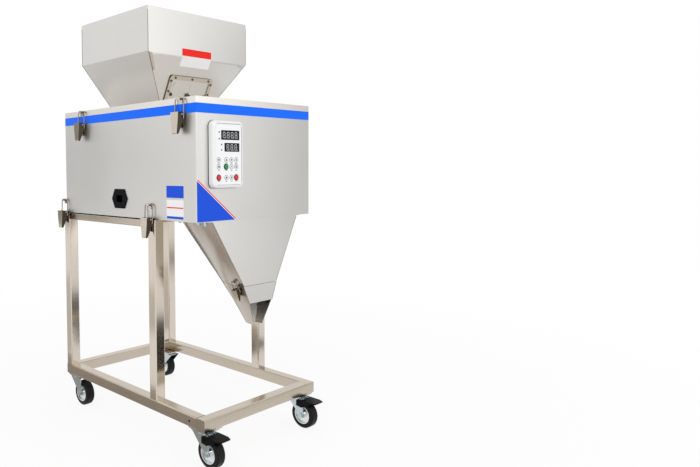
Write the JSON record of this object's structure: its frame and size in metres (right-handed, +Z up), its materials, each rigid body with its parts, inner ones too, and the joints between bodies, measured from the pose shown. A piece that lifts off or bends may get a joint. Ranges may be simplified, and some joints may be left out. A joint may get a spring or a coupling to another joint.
{
  "type": "weighing filling machine",
  "caption": "Vibrating weigh filler: hopper over a sheet box with a keypad, open-fronted chute and nozzle below, latches, on a tube stand with swivel casters.",
  "frame": {"origin": "on the floor under the middle of the base frame", "axes": "+X to the right seen from the front, front at -Y, +Z up"},
  "size_m": [0.468, 0.7115, 1.161],
  "materials": {
    "stainless_satin": "satin",
    "stainless_polished": "polished",
    "zinc": "zinc plated",
    "steel_wire": "bright",
    "wheel_rubber": "rubber tyre on a bright rim",
    "pedal_black": "black",
    "gasket_rubber": "matt",
    "panel_white": "moulded white",
    "keypad_film": "printed film with dark display windows",
    "key_green": "green",
    "key_red": "red",
    "inlet_black": "black",
    "painted_steel": "grey paint",
    "aluminium": "machined",
    "case_grey": "grey"
  },
  "bodies": {
    "machine": {"base_frame": "stainless_polished", "legs": "stainless_polished", "top_rails": "stainless_polished", "box_gasket": "gasket_rubber", "caster_plates": "zinc", "housing": "stainless_satin", "lid": "stainless_satin", "chute": "stainless_satin", "nozzle": "stainless_satin", "latch_plates": "stainless_polished", "panel_bezel": "panel_white", "keypad": "keypad_film", "inlet_socket": "inlet_black", "fixing_screws": "zinc", "feeder_drive": "painted_steel", "leaf_springs": "steel_wire", "load_cell": "aluminium", "weigh_stand": "stainless_satin", "weigh_bucket": "stainless_satin", "door_solenoid": "painted_steel", "control_board": "case_grey"},
    "hopper": {"hopper": "stainless_satin", "gate_guide": "stainless_satin"},
    "hopper_gate": {"hopper_gate": "stainless_satin"},
    "latch_lever_lid_front_left": {"latch_lever_lid_front_left": "stainless_polished"},
    "latch_bail_lid_front_left": {"latch_bail_lid_front_left": "steel_wire"},
    "latch_lever_frame_front_left": {"latch_lever_frame_front_left": "stainless_polished"},
    "latch_bail_frame_front_left": {"latch_bail_frame_front_left": "steel_wire"},
    "latch_lever_lid_rear_left": {"latch_lever_lid_rear_left": "stainless_polished"},
    "latch_bail_lid_rear_left": {"latch_bail_lid_rear_left": "steel_wire"},
    "latch_lever_frame_rear_left": {"latch_lever_frame_rear_left": "stainless_polished"},
    "latch_bail_frame_rear_left": {"latch_bail_frame_rear_left": "steel_wire"},
    "latch_lever_nozzle_left": {"latch_lever_nozzle_left": "stainless_polished"},
    "latch_bail_nozzle_left": {"latch_bail_nozzle_left": "steel_wire"},
    "latch_lever_lid_front_right": {"latch_lever_lid_front_right": "stainless_polished"},
    "latch_bail_lid_front_right": {"latch_bail_lid_front_right": "steel_wire"},
    "latch_lever_frame_front_right": {"latch_lever_frame_front_right": "stainless_polished"},
    "latch_bail_frame_front_right": {"latch_bail_frame_front_right": "steel_wire"},
    "latch_lever_lid_rear_right": {"latch_lever_lid_rear_right": "stainless_polished"},
    "latch_bail_lid_rear_right": {"latch_bail_lid_rear_right": "steel_wire"},
    "latch_lever_frame_rear_right": {"latch_lever_frame_rear_right": "stainless_polished"},
    "latch_bail_frame_rear_right": {"latch_bail_frame_rear_right": "steel_wire"},
    "latch_lever_nozzle_right": {"latch_lever_nozzle_right": "stainless_polished"},
    "latch_bail_nozzle_right": {"latch_bail_nozzle_right": "steel_wire"},
    "caster_fork_front_left": {"caster_fork_front_left": "zinc"},
    "caster_wheel_front_left": {"caster_wheel_front_left": "wheel_rubber"},
    "brake_pedal_left": {"brake_pedal_left": "pedal_black"},
    "caster_fork_rear_left": {"caster_fork_rear_left": "zinc"},
    "caster_wheel_rear_left": {"caster_wheel_rear_left": "wheel_rubber"},
    "caster_fork_front_right": {"caster_fork_front_right": "zinc"},
    "caster_wheel_front_right": {"caster_wheel_front_right": "wheel_rubber"},
    "brake_pedal_right": {"brake_pedal_right": "pedal_black"},
    "caster_fork_rear_right": {"caster_fork_rear_right": "zinc"},
    "caster_wheel_rear_right": {"caster_wheel_rear_right": "wheel_rubber"},
    "start_key": {"start_key": "key_green"},
    "stop_key": {"stop_key": "key_red"},
    "clear_key": {"clear_key": "key_red"},
    "feed_trough": {"feed_trough": "stainless_satin"},
    "bucket_door": {"bucket_door": "stainless_satin"},
    "solenoid_rod": {"solenoid_rod": "zinc"}
  },
  "joints": [
    {"name": "hopper_lift_off", "type": "slide", "parent": "machine", "child": "hopper", "axis": [0, 0, 1], "range_m": [0, 0.25]},
    {"name": "gate_slide", "type": "slide", "parent": "hopper", "child": "hopper_gate", "axis": [0, 0.4472, -0.8944], "range_m": [0, 0.0314]},
    {"name": "latch_lever_lid_front_left_pivot", "type": "hinge", "parent": "machine", "child": "latch_lever_lid_front_left", "pos_m": [-0.22, -0.247, 0.8619], "axis": [0, 1, 0], "range_deg": [0, 90]},
    {"name": "latch_bail_lid_front_left_pivot", "type": "hinge", "parent": "latch_lever_lid_front_left", "child": "latch_bail_lid_front_left", "pos_m": [-0.2185, -0.247, 0.8519], "axis": [0, 1, 0], "range_deg": [-76, 0]},
    {"name": "latch_lever_frame_front_left_pivot", "type": "hinge", "parent": "machine", "child": "latch_lever_frame_front_left", "pos_m": [-0.22, -0.12, 0.601], "axis": [0, 1, 0], "range_deg": [0, 90]},
    {"name": "latch_bail_frame_front_left_pivot", "type": "hinge", "parent": "latch_lever_frame_front_left", "child": "latch_bail_frame_front_left", "pos_m": [-0.2185, -0.12, 0.591], "axis": [0, 1, 0], "range_deg": [-76, 0]},
    {"name": "latch_lever_lid_rear_left_pivot", "type": "hinge", "parent": "machine", "child": "latch_lever_lid_rear_left", "pos_m": [-0.22, 0.2, 0.8619], "axis": [0, 1, 0], "range_deg": [0, 90]},
    {"name": "latch_bail_lid_rear_left_pivot", "type": "hinge", "parent": "latch_lever_lid_rear_left", "child": "latch_bail_lid_rear_left", "pos_m": [-0.2185, 0.2, 0.8519], "axis": [0, 1, 0], "range_deg": [-76, 0]},
    {"name": "latch_lever_frame_rear_left_pivot", "type": "hinge", "parent": "machine", "child": "latch_lever_frame_rear_left", "pos_m": [-0.22, 0.305, 0.601], "axis": [0, 1, 0], "range_deg": [0, 90]},
    {"name": "latch_bail_frame_rear_left_pivot", "type": "hinge", "parent": "latch_lever_frame_rear_left", "child": "latch_bail_frame_rear_left", "pos_m": [-0.2185, 0.305, 0.591], "axis": [0, 1, 0], "range_deg": [-76, 0]},
    {"name": "latch_lever_nozzle_left_pivot", "type": "hinge", "parent": "machine", "child": "latch_lever_nozzle_left", "pos_m": [-0.0637, -0.28431, 0.41865], "axis": [0.0204, 0.9989, -0.0423], "range_deg": [0, 90]},
    {"name": "latch_bail_nozzle_left_pivot", "type": "hinge", "parent": "latch_lever_nozzle_left", "child": "latch_bail_nozzle_left", "pos_m": [-0.06017, -0.2846, 0.41347], "axis": [0.0204, 0.9989, -0.0423], "range_deg": [-76, 0]},
    {"name": "latch_lever_lid_front_right_pivot", "type": "hinge", "parent": "machine", "child": "latch_lever_lid_front_right", "pos_m": [0.22, -0.247, 0.8619], "axis": [0, -1, 0], "range_deg": [0, 90]},
    {"name": "latch_bail_lid_front_right_pivot", "type": "hinge", "parent": "latch_lever_lid_front_right", "child": "latch_bail_lid_front_right", "pos_m": [0.2185, -0.247, 0.8519], "axis": [0, -1, 0], "range_deg": [-76, 0]},
    {"name": "latch_lever_frame_front_right_pivot", "type": "hinge", "parent": "machine", "child": "latch_lever_frame_front_right", "pos_m": [0.22, -0.12, 0.601], "axis": [0, -1, 0], "range_deg": [0, 90]},
    {"name": "latch_bail_frame_front_right_pivot", "type": "hinge", "parent": "latch_lever_frame_front_right", "child": "latch_bail_frame_front_right", "pos_m": [0.2185, -0.12, 0.591], "axis": [0, -1, 0], "range_deg": [-76, 0]},
    {"name": "latch_lever_lid_rear_right_pivot", "type": "hinge", "parent": "machine", "child": "latch_lever_lid_rear_right", "pos_m": [0.22, 0.2, 0.8619], "axis": [0, -1, 0], "range_deg": [0, 90]},
    {"name": "latch_bail_lid_rear_right_pivot", "type": "hinge", "parent": "latch_lever_lid_rear_right", "child": "latch_bail_lid_rear_right", "pos_m": [0.2185, 0.2, 0.8519], "axis": [0, -1, 0], "range_deg": [-76, 0]},
    {"name": "latch_lever_frame_rear_right_pivot", "type": "hinge", "parent": "machine", "child": "latch_lever_frame_rear_right", "pos_m": [0.22, 0.305, 0.601], "axis": [0, -1, 0], "range_deg": [0, 90]},
    {"name": "latch_bail_frame_rear_right_pivot", "type": "hinge", "parent": "latch_lever_frame_rear_right", "child": "latch_bail_frame_rear_right", "pos_m": [0.2185, 0.305, 0.591], "axis": [0, -1, 0], "range_deg": [-76, 0]},
    {"name": "latch_lever_nozzle_right_pivot", "type": "hinge", "parent": "machine", "child": "latch_lever_nozzle_right", "pos_m": [0.0637, -0.28431, 0.41865], "axis": [0.0204, -0.9989, 0.0423], "range_deg": [0, 90]},
    {"name": "latch_bail_nozzle_right_pivot", "type": "hinge", "parent": "latch_lever_nozzle_right", "child": "latch_bail_nozzle_right", "pos_m": [0.06017, -0.2846, 0.41347], "axis": [0.0204, -0.9989, 0.0423], "range_deg": [-76, 0]},
    {"name": "swivel_front_left", "type": "hinge", "parent": "machine", "child": "caster_fork_front_left", "pos_m": [-0.18, -0.29, 0.084], "axis": [0, 0, 1], "continuous": true},
    {"name": "roll_front_left", "type": "hinge", "parent": "caster_fork_front_left", "child": "caster_wheel_front_left", "pos_m": [-0.18, -0.312, 0.0375], "axis": [1, 0, 0], "continuous": true},
    {"name": "brake_pedal_left_pivot", "type": "hinge", "parent": "caster_fork_front_left", "child": "brake_pedal_left", "pos_m": [-0.18, -0.305, 0.075], "axis": [1, 0, 0], "range_deg": [0, 14]},
    {"name": "swivel_rear_left", "type": "hinge", "parent": "machine", "child": "caster_fork_rear_left", "pos_m": [-0.18, 0.29, 0.084], "axis": [0, 0, 1], "continuous": true},
    {"name": "roll_rear_left", "type": "hinge", "parent": "caster_fork_rear_left", "child": "caster_wheel_rear_left", "pos_m": [-0.18, 0.268, 0.0375], "axis": [1, 0, 0], "continuous": true},
    {"name": "swivel_front_right", "type": "hinge", "parent": "machine", "child": "caster_fork_front_right", "pos_m": [0.18, -0.29, 0.084], "axis": [0, 0, 1], "continuous": true},
    {"name": "roll_front_right", "type": "hinge", "parent": "caster_fork_front_right", "child": "caster_wheel_front_right", "pos_m": [0.18, -0.312, 0.0375], "axis": [1, 0, 0], "continuous": true},
    {"name": "brake_pedal_right_pivot", "type": "hinge", "parent": "caster_fork_front_right", "child": "brake_pedal_right", "pos_m": [0.18, -0.305, 0.075], "axis": [1, 0, 0], "range_deg": [0, 14]},
    {"name": "swivel_rear_right", "type": "hinge", "parent": "machine", "child": "caster_fork_rear_right", "pos_m": [0.18, 0.29, 0.084], "axis": [0, 0, 1], "continuous": true},
    {"name": "roll_rear_right", "type": "hinge", "parent": "caster_fork_rear_right", "child": "caster_wheel_rear_right", "pos_m": [0.18, 0.312, 0.0375], "axis": [1, 0, 0], "continuous": true},
    {"name": "start_key_press", "type": "slide", "parent": "machine", "child": "start_key", "axis": [0, 1, 0], "range_m": [0, 0.0012], "stiffness_N_per_m": 400, "springref_m": -0.0003},
    {"name": "stop_key_press", "type": "slide", "parent": "machine", "child": "stop_key", "axis": [0, 1, 0], "range_m": [0, 0.0012], "stiffness_N_per_m": 400, "springref_m": -0.0003},
    {"name": "clear_key_press", "type": "slide", "parent": "machine", "child": "clear_key", "axis": [0, 1, 0], "range_m": [0, 0.0012], "stiffness_N_per_m": 400, "springref_m": -0.0003},
    {"name": "trough_vibration", "type": "slide", "parent": "machine", "child": "feed_trough", "axis": [0, -0.9659, 0.2588], "range_m": [-0.0005, 0.0005], "stiffness_N_per_m": 500000},
    {"name": "bucket_door_hinge", "type": "hinge", "parent": "machine", "child": "bucket_door", "pos_m": [0, -0.126, 0.656], "axis": [1, 0, 0], "range_deg": [0, 55], "stiffness_Nm_per_rad": 0.18, "springref_deg": -57.3},
    {"name": "solenoid_stroke", "type": "slide", "parent": "machine", "child": "solenoid_rod", "axis": [0, -1, 0], "range_m": [0, 0.02329]}
  ],
  "couplings": [
    {"joint": "latch_bail_lid_front_left_pivot", "follows": "latch_lever_lid_front_left_pivot", "ratio": -0.835},
    {"joint": "latch_bail_frame_front_left_pivot", "follows": "latch_lever_frame_front_left_pivot", "ratio": -0.835},
    {"joint": "latch_bail_lid_rear_left_pivot", "follows": "latch_lever_lid_rear_left_pivot", "ratio": -0.835},
    {"joint": "latch_bail_frame_rear_left_pivot", "follows": "latch_lever_frame_rear_left_pivot", "ratio": -0.835},
    {"joint": "latch_bail_nozzle_left_pivot", "follows": "latch_lever_nozzle_left_pivot", "ratio": -0.835},
    {"joint": "latch_bail_lid_front_right_pivot", "follows": "latch_lever_lid_front_right_pivot", "ratio": -0.835},
    {"joint": "latch_bail_frame_front_right_pivot", "follows": "latch_lever_frame_front_right_pivot", "ratio": -0.835},
    {"joint": "latch_bail_lid_rear_right_pivot", "follows": "latch_lever_lid_rear_right_pivot", "ratio": -0.835},
    {"joint": "latch_bail_frame_rear_right_pivot", "follows": "latch_lever_frame_rear_right_pivot", "ratio": -0.835},
    {"joint": "latch_bail_nozzle_right_pivot", "follows": "latch_lever_nozzle_right_pivot", "ratio": -0.835},
    {"joint": "solenoid_stroke", "follows": "bucket_door_hinge", "m_per_rad": 0.024051}
  ]
}
